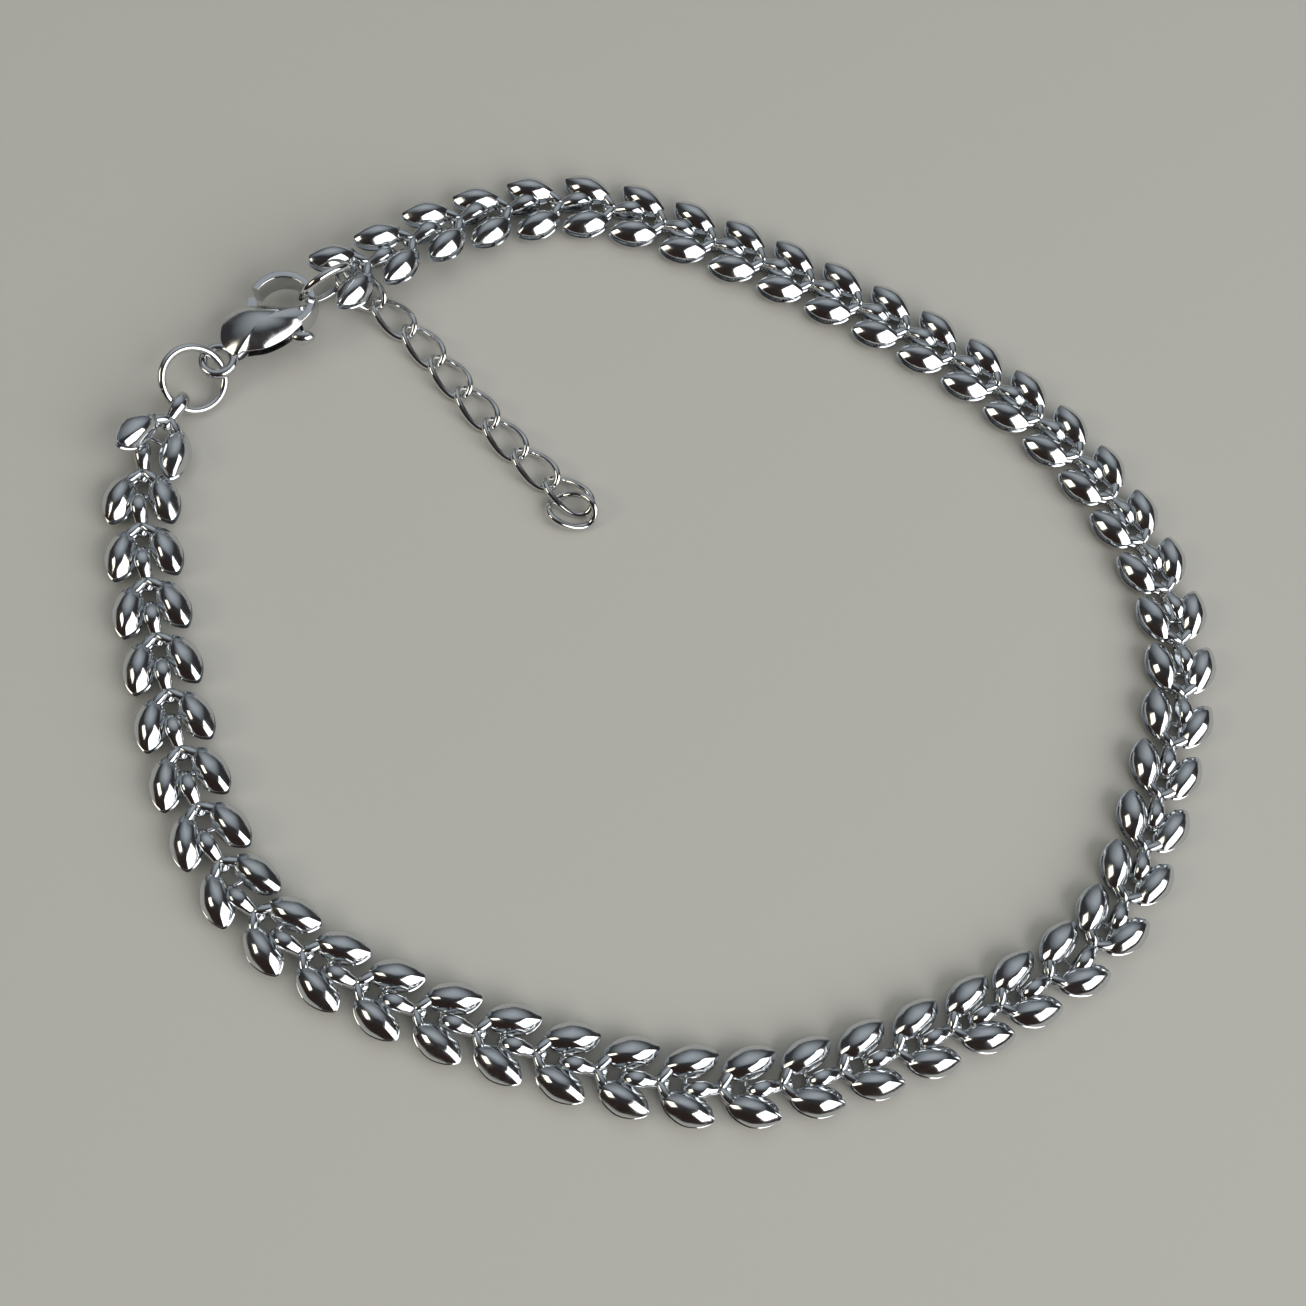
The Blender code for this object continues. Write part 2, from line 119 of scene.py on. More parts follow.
# %% Make the steel
def polished_steel(name, colour=(0.60, 0.625, 0.65), roughness=0.085, wear=0.10):
    material = bpy.data.materials.new(name)
    material.use_nodes = True
    nodes = material.node_tree.nodes
    links = material.node_tree.links
    shader = nodes["Principled BSDF"]
    shader.inputs["Base Color"].default_value = (*colour, 1.0)
    shader.inputs["Metallic"].default_value = 1.0
    place = nodes.new("ShaderNodeTexCoord")
    patches = nodes.new("ShaderNodeTexNoise")
    patches.inputs["Scale"].default_value = 900.0
    patches.inputs["Detail"].default_value = 3.0
    links.new(place.outputs["Object"], patches.inputs["Vector"])
    spread = nodes.new("ShaderNodeMapRange")
    spread.inputs["From Min"].default_value = 0.45
    spread.inputs["From Max"].default_value = 0.75
    spread.inputs["To Min"].default_value = roughness
    spread.inputs["To Max"].default_value = roughness + wear
    links.new(patches.outputs["Fac"], spread.inputs["Value"])
    links.new(spread.outputs["Result"], shader.inputs["Roughness"])
    stretch = nodes.new("ShaderNodeMapping")
    stretch.inputs["Rotation"].default_value = (0.0, 0.0, math.radians(35))
    stretch.inputs["Scale"].default_value = (1.0, 14.0, 4.0)
    hairlines = nodes.new("ShaderNodeTexNoise")
    hairlines.inputs["Scale"].default_value = 700.0
    hairlines.inputs["Detail"].default_value = 4.0
    bump = nodes.new("ShaderNodeBump")
    bump.inputs["Strength"].default_value = 0.05
    bump.inputs["Distance"].default_value = 0.02 * MM
    links.new(place.outputs["Object"], stretch.inputs["Vector"])
    links.new(stretch.outputs["Vector"], hairlines.inputs["Vector"])
    links.new(hairlines.outputs["Fac"], bump.inputs["Height"])
    links.new(bump.outputs["Normal"], shader.inputs["Normal"])
    return material


leaf_steel = polished_steel("leaf_steel", colour=(0.66, 0.685, 0.71), roughness=0.10, wear=0.10)
wire_steel = polished_steel("wire_steel", colour=(0.74, 0.75, 0.755), roughness=0.06, wear=0.05)
clasp_steel = polished_steel("clasp_steel", colour=(0.66, 0.675, 0.69), roughness=0.12, wear=0.12)

# %% [markdown]
# ## One leaf
#
# A leaf is a plump almond that a press has domed, with a rounded base and a blunt tip.  Its
# outline swells more on the outer side than towards the middle of the chain.  A closed smooth
# curve through thirteen shares of its length draws it.  For the dome, a ring of outline points is
# extruded again and again, each time drawn in towards the middle and raised a little less.  The
# height follows about the square of the ring's share, so the slope grows evenly and never gets
# steep: the flanks mirror the dark horizon and not the floor, and a lamp shows as one large patch
# near the tip.  Under the rim is a short lip, which is the edge of the sheet, and a hollow.

# %% Sizes and outline of a leaf
LINK_PITCH = 4.45
LINK_HEIGHT = 2.0
LEAF_LENGTH = 3.95
LEAF_ANGLE = math.radians(16.5)
LEAF_BASE = Vector((0.36, 1.05))
# Round the inner side of a leaf first: share of the length along it, share across it
LEAF_OUTLINE = (
    (0.0, 0.0), (0.065, -0.105), (0.19, -0.205), (0.385, -0.262), (0.60, -0.262), (0.79, -0.215),
    (0.92, -0.115), (1.0, 0.02), (0.935, 0.125), (0.77, 0.235), (0.51, 0.30), (0.245, 0.24),
    (0.075, 0.13),
)
CROWN_HEIGHT = 2.22
RIM_HEIGHT = 1.42
LIP = 0.08
# The sheet's edge curls in to a share of the outline, and the hollow behind it to a share of that
LIP_SHARE = 0.93
LIP_CURL = 0.06
HOLLOW_SHARE = 0.62
HOLLOW_DEPTH = 0.25
HOLLOW_TOP = 0.3
LOWER_SPREAD = 1.02
LOWER_FLATNESS = 0.86
DOME_SHARES = (0.94, 0.86, 0.77, 0.67, 0.56, 0.45, 0.33, 0.21, 0.10)
DOME_POWER = 2.05


def smooth_outline(points, steps):
    """A closed curve through the points, with each stretch cut into steps."""
    count = len(points)
    line = []
    for index in range(count):
        before, start = points[index - 1], points[index]
        end, after = points[(index + 1) % count], points[(index + 2) % count]
        line += [curve_point(before, start, end, after, step / steps) for step in range(steps)]
    return line


def leaf_outline(side):
    """Points round the almond; side is 1 for the left leaf and -1 for the right one."""
    along = Vector((math.cos(LEAF_ANGLE), math.sin(LEAF_ANGLE)))
    outward = Vector((-along.y, along.x))
    corners = [LEAF_BASE + (along * share + outward * across) * LEAF_LENGTH
               for share, across in LEAF_OUTLINE]
    return [(point.x, point.y * side) for point in smooth_outline(corners, 3)]


# %% Dome one leaf
def raised_ring(work, ring, centre, scale, height):
    """Extrude a ring of edges, draw it in towards the centre and set its height."""
    grown = bmesh.ops.extrude_edge_only(work, edges=ring)["geom"]
    verts = [part for part in grown if isinstance(part, bmesh.types.BMVert)]
    edges = [part for part in grown if isinstance(part, bmesh.types.BMEdge)]
    for vert in verts:
        vert.co.x = centre.x + (vert.co.x - centre.x) * scale
        vert.co.y = centre.y + (vert.co.y - centre.y) * scale
        vert.co.z = height
    return edges


def closed_with_peak(work, ring, height):
    """Close a ring with a fan of faces whose middle is at the given height."""
    face = bmesh.ops.contextual_create(work, geom=ring)["faces"][0]
    peak = bmesh.ops.poke(work, faces=[face])["verts"][0]
    peak.co.z = height


def leaf_mesh(side):
    work = bmesh.new()
    corners = [work.verts.new((x, y, RIM_HEIGHT)) for x, y in leaf_outline(side)]
    ring = [work.edges.new((a, b)) for a, b in zip(corners, corners[1:] + corners[:1])]
    first = list(ring)
    centre = sum((vert.co for vert in corners), Vector()) / len(corners)
    before = 1.0
    for share in DOME_SHARES:
        height = RIM_HEIGHT + (CROWN_HEIGHT - RIM_HEIGHT) * (1 - share ** DOME_POWER)
        ring = raised_ring(work, ring, centre, share / before, height)
        before = share
    closed_with_peak(work, ring, CROWN_HEIGHT)
    lip = raised_ring(work, first, centre, 1.0, RIM_HEIGHT - LIP)
    hollow = raised_ring(work, lip, centre, LIP_SHARE, RIM_HEIGHT - LIP - LIP_CURL)
    hollow = raised_ring(work, hollow, centre, HOLLOW_SHARE, RIM_HEIGHT + HOLLOW_DEPTH)
    closed_with_peak(work, hollow, RIM_HEIGHT + HOLLOW_TOP)
    return mesh_from(work, "leaf")


upper_leaves = [leaf_mesh(1), leaf_mesh(-1)]
print("one leaf has", len(upper_leaves[0].polygons), "faces")

# %% [markdown]
# ## The folded strap
#
# Each link has a strap that runs back from its neck, over the bar of the link before it, and
# folds under itself.  Seen from the side it is a flattened loop of sheet, highest just before
# the fold.  The press and the polish have crowned its outer side, and the fold is nearly a
# ball.  So a crowned section is swept along the side view row by row, and its width changes on
# the way: a flat strip would show no highlight where this one carries an oval.

# %% Fold the strap
STRAP_LENGTH = 2.85
STRAP_SHEET = 0.3
# Side view of the strap's middle, from the neck over the crest, round the fold and back:
# distance from the neck, height, and how wide the strap is there
STRAP_SIDE = (
    (0.50, 0.84, 0.76), (-0.05, 1.02, 0.84), (-0.60, 1.32, 1.04), (-1.15, 1.62, 1.20),
    (-1.72, 1.66, 1.20), (-2.26, 1.36, 1.10), (-2.52, 0.96, 1.04), (-2.33, 0.62, 1.04),
    (-1.75, 0.39, 0.98), (-1.00, 0.42, 0.96), (-0.25, 0.62, 0.90), (0.50, 0.78, 0.80),
)
# Half of the strap's section: distance from its middle line where the strap is one wide, and how
# far out it stands
STRAP_SECTION = (
    (0.40, -0.15), (0.47, -0.06), (0.46, 0.05), (0.38, 0.17), (0.23, 0.265), (0.0, 0.31),
)


def strap_rows(steps=3):
    """The side view as an open smooth curve, with the width carried along."""
    points = [Vector(point) for point in STRAP_SIDE]
    points = [points[0] * 2 - points[1], *points, points[-1] * 2 - points[-2]]
    line = []
    for before, start, end, after in zip(points, points[1:], points[2:], points[3:]):
        line += [curve_point(before, start, end, after, step / steps) for step in range(steps)]
    return [*line, points[-2]]


def strap_mesh():
    """Sweep a section with a crowned outer side along the side view."""
    line = strap_rows()
    section = [*STRAP_SECTION, *[(-across, out) for across, out in reversed(STRAP_SECTION[:-1])]]
    work = bmesh.new()
    rows = []
    for before, here, after in zip([line[0], *line], line, [*line[1:], line[-1]]):
        direction = Vector((after.x - before.x, after.y - before.y)).normalized()
        normal = Vector((direction.y, -direction.x))
        rows.append([work.verts.new((here.x + normal.x * out, across * here.z,
                                     here.y + normal.y * out)) for across, out in section])
    for row, following in zip(rows, rows[1:]):
        for corner in range(len(row)):
            after = (corner + 1) % len(row)
            work.faces.new((row[corner], row[after], following[after], following[corner]))
    work.faces.new(rows[0])
    work.faces.new(reversed(rows[-1]))
    return mesh_from(work, "strap")


strap = strap_mesh()

# %% [markdown]
# ## Neck, arms and bar
#
# The neck is where the strap and both layers of leaves meet.  The polish has worn it round, so it
# is a smooth pebble that carries one small highlight.  From it a short arm, another pebble,
# reaches out to the round base of each leaf, in both layers.  The bar is the bridge between the
# leaves that the next strap is folded around.

# %% Model the neck, the arms and the bar
BAR_THICKNESS = 0.36
BAR_REACH = 2.56
BAR_BASE = 0.56
BAR_EDGE = 0.16
FOLD_BITE = 0.13
BAR_FRONT = LINK_PITCH - STRAP_LENGTH + STRAP_SHEET - FOLD_BITE
NECK_SIZE = (1.30, 1.0, 0.90)
NECK_PLACE = (0.26, 0.0, 1.00)
ARM_LENGTH = 1.8
ARM_WIDTH = 0.74
ARM_THICKNESS = 0.60
ARM_ANGLE = math.radians(52)
ARM_MIDDLE = Vector((0.46, 0.64))
ARM_DROP = 0.06


def block_mesh(name, size, place, edge):
    """A box with rounded edges."""
    work = bmesh.new()
    bmesh.ops.create_cube(work, size=1.0)
    bmesh.ops.scale(work, verts=work.verts, vec=size)
    bmesh.ops.bevel(work, geom=list(work.edges), offset=edge, segments=3, profile=0.5,
                    affect="EDGES", clamp_overlap=True)
    bmesh.ops.translate(work, verts=work.verts, vec=place)
    return mesh_from(work, name)


def pebble_mesh(name, size, place):
    """A smooth pebble: a ball that is stretched to the given size."""
    work = bmesh.new()
    bmesh.ops.create_uvsphere(work, u_segments=18, v_segments=10, radius=0.5)
    bmesh.ops.scale(work, verts=work.verts, vec=size)
    bmesh.ops.translate(work, verts=work.verts, vec=place)
    return mesh_from(work, name)


def arm_mesh(side, upward):
    """The short arm from the neck to the base of one leaf."""
    arm = pebble_mesh("arm", (ARM_LENGTH, ARM_WIDTH, ARM_THICKNESS), (0.0, 0.0, 0.0))
    rim = RIM_HEIGHT - ARM_DROP
    height = rim if upward else LINK_HEIGHT - rim
    arm.transform(Matrix.Translation((ARM_MIDDLE.x, ARM_MIDDLE.y * side, height))
                  @ Matrix.Rotation(ARM_ANGLE * side, 4, "Z"))
    return arm


arms = [arm_mesh(side, upward) for side in (1, -1) for upward in (True, False)]
neck = pebble_mesh("neck", NECK_SIZE, NECK_PLACE)
bar = block_mesh("bar", (BAR_THICKNESS, BAR_REACH, BAR_THICKNESS),
                 (BAR_FRONT + BAR_THICKNESS / 2, 0.0, BAR_BASE + BAR_THICKNESS / 2), BAR_EDGE)

# %% [markdown]
# ## The route of the chain
#
# The links follow a smooth line through points that were read from the photograph.  A
# Catmull-Rom curve passes through every point, and the links are set along it one pitch apart,
# each turned towards the next.  The last links before the clasp climb and tilt, because the
# rings lift them.

# %% Walk along the route
LINK_COUNT = 50
FIRST_RUN_COUNT = 22
RUN_SLACK = 0.28
CHAIN_ROUTE = (
    (-18.7, 60.4), (-20.1, 56.2), (-20.0, 51.9), (-19.4, 47.4), (-18.0, 40.9), (-16.1, 33.2),
    (-13.7, 26.8), (-11.3, 22.9), (-7.9, 19.8), (-2.2, 16.4), (4.1, 13.8), (12.4, 10.9),
    (20.9, 9.2), (27.4, 9.4), (33.9, 11.0), (41.9, 13.9), (49.8, 17.9), (53.0, 21.1),
    (55.4, 25.0), (58.7, 33.0), (61.0, 39.5), (60.8, 45.9), (59.7, 50.1), (55.4, 58.0),
    (49.3, 64.5), (42.0, 69.8), (33.9, 74.2), (25.6, 78.0), (17.0, 81.0), (12.4, 81.3),
    (7.9, 80.4), (3.5, 78.6), (-0.1, 76.4), (-3.6, 74.0),
)
# Columns: link number, lift, roll about its length, rise of its tips, turn from the route
END_LINK_POSES = (
    (1, 0.59, -24.0, 8.4, -3.9), (47, 0.15, 3.0, 3.0, 0.0), (48, 0.75, 3.0, 6.5, 0.0),
    (49, 1.17, 1.6, 5.4, 0.0), (50, 1.426, -3.6, 9.6, -0.7),
)


def smooth_route(points, steps=24):
    """A smooth line through the chosen points, cut fine enough to walk along."""
    points = [Vector((x, y)) for x, y in points]
    first = points[0] * 2 - points[1]
    last = points[-1] * 2 - points[-2]
    points = [first, *points, last]
    line = []
    for before, start, end, after in zip(points, points[1:], points[2:], points[3:]):
        line += [curve_point(before, start, end, after, step / steps) for step in range(steps)]
    line.append(points[-2])
    direction = (points[-1] - points[-2]).normalized()
    line.append(points[-2] + direction * 2 * LINK_PITCH)
    return line


def walk_route(line, distance):
    """Place on the line at a distance from its start."""
    travelled = 0.0
    for start, end in zip(line, line[1:]):
        length = (end - start).length
        if travelled + length >= distance:
            return start.lerp(end, (distance - travelled) / length)
        travelled += length
    return line[-1]


def link_matrix(line, number):
    slack = RUN_SLACK if number > FIRST_RUN_COUNT else 0.0
    distance = (number - 1) * LINK_PITCH - slack
    here = walk_route(line, distance)
    ahead = walk_route(line, distance + LINK_PITCH)
    heading = math.degrees(math.atan2(ahead.y - here.y, ahead.x - here.x))
    lift = roll = rise = turn = 0.0
    for end_number, *pose in END_LINK_POSES:
        if number == end_number:
            lift, roll, rise, turn = pose
    return placed(here.x, here.y, lift, heading + turn, roll, -rise)


# %% [markdown]
# ## Both runs of the chain
#
# A link is its strap, neck, bar and arms, and four leaves: two on top and the same two turned
# over below, since the real link is one stamping folded double.  Turning a leaf over is a mirror,
# and its faces are flipped so that they still look outwards.  The lower one lies a little
# flatter, so the dark gap between the layers and the bright rim below it show at a low angle.

# %% Assemble the links
def turned_over(mesh):
    """The same leaf below, flatter and a little larger, so that its rim shows."""
    work = bmesh.new()
    work.from_mesh(mesh)
    centre = sum((vert.co for vert in work.verts), Vector()) / len(work.verts)
    for vert in work.verts:
        vert.co.x = centre.x + (vert.co.x - centre.x) * LOWER_SPREAD
        vert.co.y = centre.y + (vert.co.y - centre.y) * LOWER_SPREAD
        vert.co.z = (CROWN_HEIGHT - vert.co.z) * LOWER_FLATNESS
    return mesh_from(work, "leaf_below")


link_pieces = [strap, neck, bar, *arms, *upper_leaves, *map(turned_over, upper_leaves)]
route = smooth_route(CHAIN_ROUTE)
runs = (("leaf_chain_a", range(1, FIRST_RUN_COUNT + 1)),
        ("leaf_chain_b", range(FIRST_RUN_COUNT + 1, LINK_COUNT + 1)))
for node, numbers in runs:
    copies = [(piece, link_matrix(route, number)) for number in numbers for piece in link_pieces]
    finished("links_" + node[-1], copies, leaf_steel, "anklet", node)

# %% [markdown]
# ## Jump rings
#
# A jump ring is cut from a coil of round wire and bent shut, so a hairline seam stays where its
# ends meet.  A small circle is spun round the ring's axis and stops just short of a full turn.
# The two ends are closed with flat faces.

# %% Spin the rings
RING_OUTER = 5.5
RING_WIRE = 0.66
RING_STEPS = 96
WIRE_SIDES = 18


def ring_mesh(outer, wire, seam_angle, seam):
    """A wire circle spun nearly all the way round, with its seam at the given angle."""
    radius = (outer - wire) / 2
    work = bmesh.new()
    bmesh.ops.create_circle(
        work, cap_ends=False, segments=WIRE_SIDES, radius=wire / 2,
        matrix=Matrix.Translation((radius, 0, 0)) @ Matrix.Rotation(math.pi / 2, 4, "X"))
    gap = seam / radius
    bmesh.ops.rotate(work, verts=work.verts, matrix=Matrix.Rotation(seam_angle + gap / 2, 3, "Z"))
    bmesh.ops.spin(work, geom=[*work.verts, *work.edges], axis=(0, 0, 1), cent=(0, 0, 0),
                   steps=RING_STEPS, angle=2 * math.pi - gap)
    bmesh.ops.holes_fill(work, edges=[edge for edge in work.edges if edge.is_boundary])
    return mesh_from(work, "ring")


SEAM = 0.05
START_SEAM_ANGLE = math.radians(75)
END_SEAM_ANGLE = math.radians(200)
START_RING = placed(-16.57, 63.83, 1.81, 128.7, pitch=-33.7)
END_RING = placed(-6.49, 71.958, 2.714, 33.7, roll=90.0 + 10.1)
finished("start_ring", [(ring_mesh(RING_OUTER, RING_WIRE, START_SEAM_ANGLE, SEAM), START_RING)],
         wire_steel, "anklet", "jump_ring_start")
finished("end_ring", [(ring_mesh(RING_OUTER, RING_WIRE, END_SEAM_ANGLE, SEAM), END_RING)],
         wire_steel, "anklet", "jump_ring_end")

# %% [markdown]
# ## The extender
#
# The extender is curb chain: each oval is twisted, so that two sides rise and two fall and the
# links lie flat although they pass through each other.  A closed curve with a round section is
# the natural way to draw such a wire, and it becomes a plain mesh at once.

# %% Bend the curb links
EXTENDER_COUNT = 9
EXTENDER_PITCH = 3.44
EXTENDER_LENGTH = 4.7
EXTENDER_WIDTH = 2.75
EXTENDER_WIRE = 0.48
EXTENDER_DRAWN_WIRE = 0.54
EXTENDER_TWIST = 0.44
END_LINK_LENGTH = 4.2
END_LINK_WIDTH = 3.1
CURB_POINTS = 56
CURB_MERGE = 0.0002
FIRST_CURB = placed(-3.933, 72.514, 1.221, -31.3, 9.1, 11.4)
LAST_CURB = placed(12.58, 53.62, 0.76, -13.3, 10.5, -9.3)
EXTENDER_ROUTE = (
    (-1.3, 70.4), (1.1, 67.9), (3.2, 65.2), (5.3, 62.5), (7.6, 59.7), (10.1, 57.0),
    (12.6, 54.8), (14.9, 53.2),
)


def curb_mesh(length, width):
    half_length = (length - EXTENDER_WIRE) / 2
    half_width = (width - EXTENDER_WIRE) / 2
    curve = bpy.data.curves.new("curb", "CURVE")
    curve.dimensions = "3D"
    curve.bevel_depth = EXTENDER_DRAWN_WIRE / 2
    curve.bevel_resolution = 4
    spline = curve.splines.new("POLY")
    spline.points.add(CURB_POINTS - 1)
    spline.use_cyclic_u = True
    for step, point in enumerate(spline.points):
        angle = 2 * math.pi * step / CURB_POINTS
        point.co = (half_length * math.cos(angle), half_width * math.sin(angle),
                    EXTENDER_TWIST * math.sin(2 * angle), 1.0)
    holder = bpy.data.objects.new("curb", curve)
    bpy.context.scene.collection.objects.link(holder)
    bpy.context.view_layer.update()
    drawn = bpy.data.meshes.new_from_object(holder.evaluated_get(
        bpy.context.evaluated_depsgraph_get()))
    bpy.data.objects.remove(holder, do_unlink=True)
    work = bmesh.new()
    work.from_mesh(drawn)
    bpy.data.meshes.remove(drawn)
    bmesh.ops.remove_doubles(work, verts=work.verts, dist=CURB_MERGE)
    return mesh_from(work, "curb")


def extender_matrices():
    matrices = [FIRST_CURB]
    line = smooth_route(EXTENDER_ROUTE)
    rest = EXTENDER_TWIST + EXTENDER_WIRE / 2
    for step in range(EXTENDER_COUNT - 2):
        middle = walk_route(line, step * EXTENDER_PITCH)
        ahead = walk_route(line, (step + 0.5) * EXTENDER_PITCH)
        heading = math.degrees(math.atan2(ahead.y - middle.y, ahead.x - middle.x))
        matrices.append(placed(middle.x, middle.y, rest, heading))
    return [*matrices, LAST_CURB]


middle_curb = curb_mesh(EXTENDER_LENGTH, EXTENDER_WIDTH)
last_curb = curb_mesh(END_LINK_LENGTH, END_LINK_WIDTH)
for number, matrix in enumerate(extender_matrices(), start=1):
    shape = last_curb if number == EXTENDER_COUNT else middle_curb
    finished(f"curb_{number}", [(shape, matrix)], wire_steel, "anklet", f"extender_link_{number}")

# %% [markdown]
# ## The clasp
#
# The clasp is a small casting: a domed teardrop body, a hook that is a band on edge, an eye at
# the back, and a slot in which the lever swings.  Both halves of the body are the leaf's dome
# again, on a longer outline, and a block behind the slot, the hub, joins them.  The hook is a
# rounded section spun round its own centre.

# %% Sizes of the clasp
CLASP_LENGTH = 10.0
CLASP_THICKNESS = 2.4
CHEEK_SWELL = 0.22
CHEEK_WALL_TOP = 0.46
SLOT_HEIGHT = 0.76
HOOK_HEIGHT = 1.8
HOOK_OUTER = 2.65
HOOK_BAND = 0.62
HOOK_CENTRE = Vector((6.9, 0.35, 0.0))
HOOK_TIP_ANGLE = math.radians(112)
HOOK_ROOT_ANGLE = math.radians(-75)
HOOK_SUNK = 0.35
HOOK_EDGE = 0.11
EYE_RADIUS = 1.2
EYE_WIRE = 0.78
PIVOT = Vector((3.7, 0.2, 0.0))
PIN_RADIUS = 0.4
PIN_SUNK = 0.25
PIN_EDGE = 0.05
HUB_SIZE = (1.5, 1.25, 1.15)
HUB_PLACE = (1.75, 0.1, 0.0)
HUB_EDGE = 0.35
LEVER_THICKNESS = 0.56
KNOB = Vector((6.05, -2.95, 0.0))
KNOB_SIZE = (2.0, 1.1, 1.2)
KNOB_ANGLE = math.radians(-40)
CLASP = placed(-14.76, 65.42, 1.9, 42.0, -6.0, -3.2)
BODY_OUTLINE = (
    (0.11, 0.075), (0.21, 0.195), (0.31, 0.235), (0.41, 0.225), (0.50, 0.17), (0.61, 0.06),
    (0.74, -0.075), (0.82, -0.135), (0.76, -0.215), (0.66, -0.225), (0.50, -0.235),
    (0.33, -0.195), (0.20, -0.11), (0.11, -0.075),
)
LEVER_OUTLINE = (
    (0.52, 0.25), (0.565, 0.21), (0.485, 0.10), (0.46, 0.01), (0.52, -0.09), (0.645, -0.275),
    (0.65, -0.31), (0.595, -0.33), (0.41, -0.075), (0.32, -0.055), (0.285, 0.02),
    (0.32, 0.085), (0.40, 0.11),
)


def clasp_outline(shares, steps):
    return smooth_outline([Vector(share) * CLASP_LENGTH for share in shares], steps)


# %% Dome the two cheeks of the body
def cheek_mesh(upward):
    """One half of the body: a wall beside the slot that rounds over into a dome."""
    outline = clasp_outline(BODY_OUTLINE, 5)
    work = bmesh.new()
    top = CLASP_THICKNESS / 2 + CHEEK_SWELL
    corners = [work.verts.new((point.x, point.y, SLOT_HEIGHT / 2)) for point in outline]
    ring = [work.edges.new((a, b)) for a, b in zip(corners, corners[1:] + corners[:1])]
    work.faces.new(corners)
    centre = sum((vert.co for vert in corners), Vector()) / len(corners)
    ring = raised_ring(work, ring, centre, 1.0, CHEEK_WALL_TOP)
    before = 1.0
    for share in DOME_SHARES:
        height = CHEEK_WALL_TOP + (top - CHEEK_WALL_TOP) * (1 - share ** DOME_POWER)
        ring = raised_ring(work, ring, centre, share / before, height)
        before = share
    closed_with_peak(work, ring, top)
    if not upward:
        bmesh.ops.scale(work, verts=work.verts, vec=(1, 1, -1))
    return mesh_from(work, "cheek")


# %% Spin the hook and turn the eye
def hook_mesh():
    """A rounded band section spun from a little inside the body to the hook's free tip."""
    work = bmesh.new()
    middle = HOOK_OUTER - HOOK_BAND / 2
    bmesh.ops.create_grid(work, x_segments=1, y_segments=1, size=0.5)
    bmesh.ops.scale(work, verts=work.verts, vec=(HOOK_BAND, HOOK_HEIGHT, 1.0))
    bmesh.ops.bevel(work, geom=list(work.verts), offset=HOOK_EDGE, segments=3, profile=0.5,
                    affect="VERTICES")
    bmesh.ops.rotate(work, verts=work.verts, matrix=Matrix.Rotation(math.pi / 2, 3, "X"))
    bmesh.ops.translate(work, verts=work.verts, vec=(middle, 0, 0))
    bmesh.ops.rotate(work, verts=work.verts,
                     matrix=Matrix.Rotation(HOOK_ROOT_ANGLE - HOOK_SUNK, 3, "Z"))
    section = [*work.verts, *work.edges, *work.faces]
    bmesh.ops.spin(work, geom=section, axis=(0, 0, 1), cent=(0, 0, 0), steps=56,
                   angle=HOOK_TIP_ANGLE - HOOK_ROOT_ANGLE + HOOK_SUNK)
    bmesh.ops.translate(work, verts=work.verts, vec=HOOK_CENTRE)
    return mesh_from(work, "hook")


def torus_mesh(radius, wire, around, sides):
    work = bmesh.new()
    bmesh.ops.create_circle(
        work, segments=sides, radius=wire / 2,
        matrix=Matrix.Translation((radius, 0, 0)) @ Matrix.Rotation(math.pi / 2, 4, "X"))
    bmesh.ops.spin(work, geom=[*work.verts, *work.edges], axis=(0, 0, 1), cent=(0, 0, 0),
                   steps=around, angle=2 * math.pi, use_merge=True)
    return mesh_from(work, "eye")


def disc_mesh(radius, height, place, edge):
    """A short cylinder with rounded rims, for the pin."""
    work = bmesh.new()
    bmesh.ops.create_cone(work, cap_ends=True, segments=32, radius1=radius, radius2=radius,
                          depth=height)
    rims = [loop for loop in work.edges if abs(loop.verts[0].co.z - loop.verts[1].co.z) < 1e-6]
    bmesh.ops.bevel(work, geom=rims, offset=edge, segments=2, profile=0.5, affect="EDGES")
    bmesh.ops.translate(work, verts=work.verts, vec=place)
    return mesh_from(work, "disc")


hub = block_mesh("hub", HUB_SIZE, HUB_PLACE, HUB_EDGE)
pin = disc_mesh(PIN_RADIUS, CLASP_THICKNESS - 2 * PIN_SUNK, PIVOT, PIN_EDGE)
body_pieces = [cheek_mesh(True), cheek_mesh(False), hook_mesh(), hub,
               torus_mesh(EYE_RADIUS, EYE_WIRE, 64, 18), pin]
finished("clasp", [(piece, CLASP) for piece in body_pieces], clasp_steel, "anklet", "clasp_body")

# %% [markdown]
# ## The lever
#
# The lever is a flat stamping that pivots on the pin.  One end closes the mouth of the hook,
# and the other ends in a thumb knob outside the body.  Its outline is extruded into a plate, and
# a stretched ball makes the knob.

# %% Stamp the lever
def lever_mesh():
    outline = clasp_outline(LEVER_OUTLINE, 4)
    work = bmesh.new()
    corners = [work.verts.new((point.x, point.y, -LEVER_THICKNESS / 2)) for point in outline]
    plate = work.faces.new(corners)
    grown = bmesh.ops.extrude_face_region(work, geom=[plate], use_keep_orig=True)["geom"]
    upper = [part for part in grown if isinstance(part, bmesh.types.BMVert)]
    bmesh.ops.translate(work, verts=upper, vec=(0, 0, LEVER_THICKNESS))
    return mesh_from(work, "lever")


def knob_mesh():
    """The thumb knob: a lobe that is longer along the lever's tail."""
    knob = pebble_mesh("knob", KNOB_SIZE, (0.0, 0.0, 0.0))
    knob.transform(Matrix.Translation(KNOB) @ Matrix.Rotation(KNOB_ANGLE, 4, "Z"))
    return knob


finished("lever", [(lever_mesh(), CLASP), (knob_mesh(), CLASP)], clasp_steel, "lever",
         "clasp_lever")

# %% [markdown]
# ## Floor
#
# The anklet lies on a plain pale surface, a warm grey close to the photograph's.  It is matt,
# so it gives the metal something light to mirror without a highlight of its own.

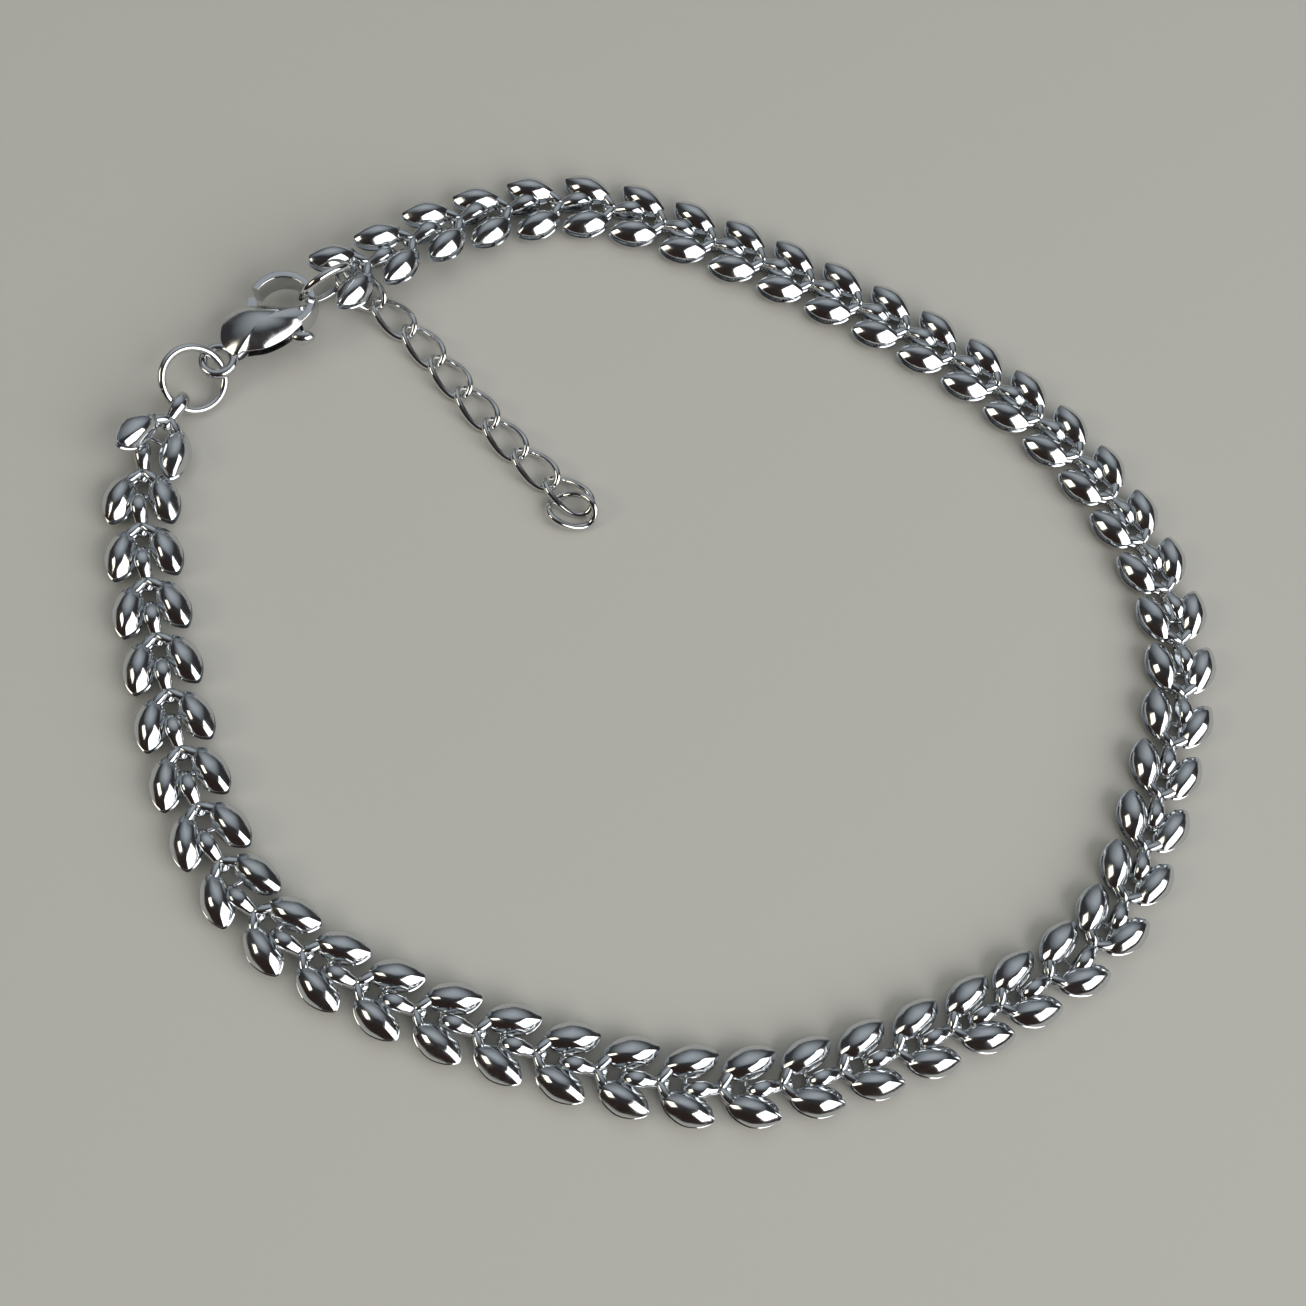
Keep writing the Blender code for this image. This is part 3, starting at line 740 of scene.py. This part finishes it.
# %% Lay the floor
FLOOR_HALF_WIDTH = 1.5
floor_data = bmesh.new()
bmesh.ops.create_grid(floor_data, x_segments=1, y_segments=1, size=FLOOR_HALF_WIDTH)
floor_mesh = bpy.data.meshes.new("floor")
floor_data.to_mesh(floor_mesh)
floor_data.free()
floor = bpy.data.objects.new("floor", floor_mesh)
floor_material = bpy.data.materials.new("pale_surface")
floor_material.use_nodes = True
floor_shader = floor_material.node_tree.nodes["Principled BSDF"]
floor_shader.inputs["Base Color"].default_value = (0.47, 0.465, 0.435, 1.0)
floor_shader.inputs["Roughness"].default_value = 0.9
floor_shader.inputs["Specular IOR Level"].default_value = 0.1
floor_mesh.materials.append(floor_material)
bpy.context.scene.collection.objects.link(floor)

# %% [markdown]
# ## Light
#
# Polished metal shows its surroundings.  The photograph has a large cool window to the right
# of the viewer, a smaller cream one to the left, and little else, so the domes are dark slate
# between crisp patches.  Two area lights are those windows.  The world is a dim blue grey,
# lightest half way up beyond the anklet, and turns a dark warm brown at the horizon.  A
# wide fill from above lights only matt surfaces: it softens the shadows on the floor, and the
# metal doesn't mirror it.

# %% Set the lights
def soft_light(name, direction, distance, size, energy, colour):
    """A lamp in the given direction (azimuth from +X, elevation) that faces the anklet."""
    azimuth, elevation = (math.radians(angle) for angle in direction)
    place = Vector((math.cos(azimuth) * math.cos(elevation),
                    math.sin(azimuth) * math.cos(elevation), math.sin(elevation))) * distance
    data = bpy.data.lights.new(name, "AREA")
    data.shape = "RECTANGLE"
    data.size, data.size_y = size
    data.energy = energy
    data.color = colour
    lamp = bpy.data.objects.new(name, data)
    lamp.location = place
    lamp.rotation_euler = (-place).to_track_quat("-Z", "Y").to_euler()
    bpy.context.scene.collection.objects.link(lamp)
    return lamp


soft_light("window", (-38, 34), 0.75, (0.95, 0.60), 5.4, (1.0, 0.99, 0.97))
soft_light("cream", (-170, 34), 0.75, (0.34, 0.24), 0.8, (1.0, 0.93, 0.74))
fill = soft_light("fill", (90, 88), 0.95, (1.5, 1.5), 4.1, (1.0, 0.99, 0.97))
fill.visible_glossy = False

SKY_MIDDLE = (0.0, 0.64, 0.768)
world = bpy.data.worlds.new("studio")
bpy.context.scene.world = world
world.use_nodes = True
world_nodes = world.node_tree.nodes
world_links = world.node_tree.links
background = world_nodes["Background"]
direction = world_nodes.new("ShaderNodeTexCoord")
height = world_nodes.new("ShaderNodeVectorMath")
height.operation = "DOT_PRODUCT"
height.inputs[1].default_value = SKY_MIDDLE
ramp = world_nodes.new("ShaderNodeValToRGB")
ramp.color_ramp.elements[0].position = 0.0
ramp.color_ramp.elements[0].color = (0.030, 0.020, 0.017, 1.0)
ramp.color_ramp.elements[1].position = 1.0
ramp.color_ramp.elements[1].color = (0.44, 0.475, 0.50, 1.0)
middle_stop = ramp.color_ramp.elements.new(0.60)
middle_stop.color = (0.04, 0.041, 0.045, 1.0)
world_links.new(direction.outputs["Generated"], height.inputs[0])
world_links.new(height.outputs["Value"], ramp.inputs["Fac"])
world_links.new(ramp.outputs["Color"], background.inputs["Color"])
background.inputs["Strength"].default_value = 1.0

# %% [markdown]
# ## Camera
#
# The camera stands where the photograph was taken from, 122 mm above the surface and a little
# in front of the band.  Its place and direction were worked out from the band's own shape.

# %% Set the camera
CAMERA_HEIGHT = 122.0
CAMERA_LENS = 46.56
camera_data = bpy.data.cameras.new("camera")
camera_data.sensor_width = 36.0
camera_data.lens = CAMERA_LENS
camera_data.clip_start = 0.005
camera = bpy.data.objects.new("camera", camera_data)
right = Vector((0.9898, -0.0464, 0.1347))
up = Vector((0.0, 0.9455, 0.3257))
back = Vector((-0.1425, -0.3224, 0.9358))
camera.matrix_world = Matrix((
    (right.x, up.x, back.x, -CENTRE_X * MM),
    (right.y, up.y, back.y, -CENTRE_Y * MM),
    (right.z, up.z, back.z, CAMERA_HEIGHT * MM),
    (0.0, 0.0, 0.0, 1.0),
))
bpy.context.scene.collection.objects.link(camera)
bpy.context.scene.camera = camera
bpy.context.scene.view_settings.view_transform = "Standard"
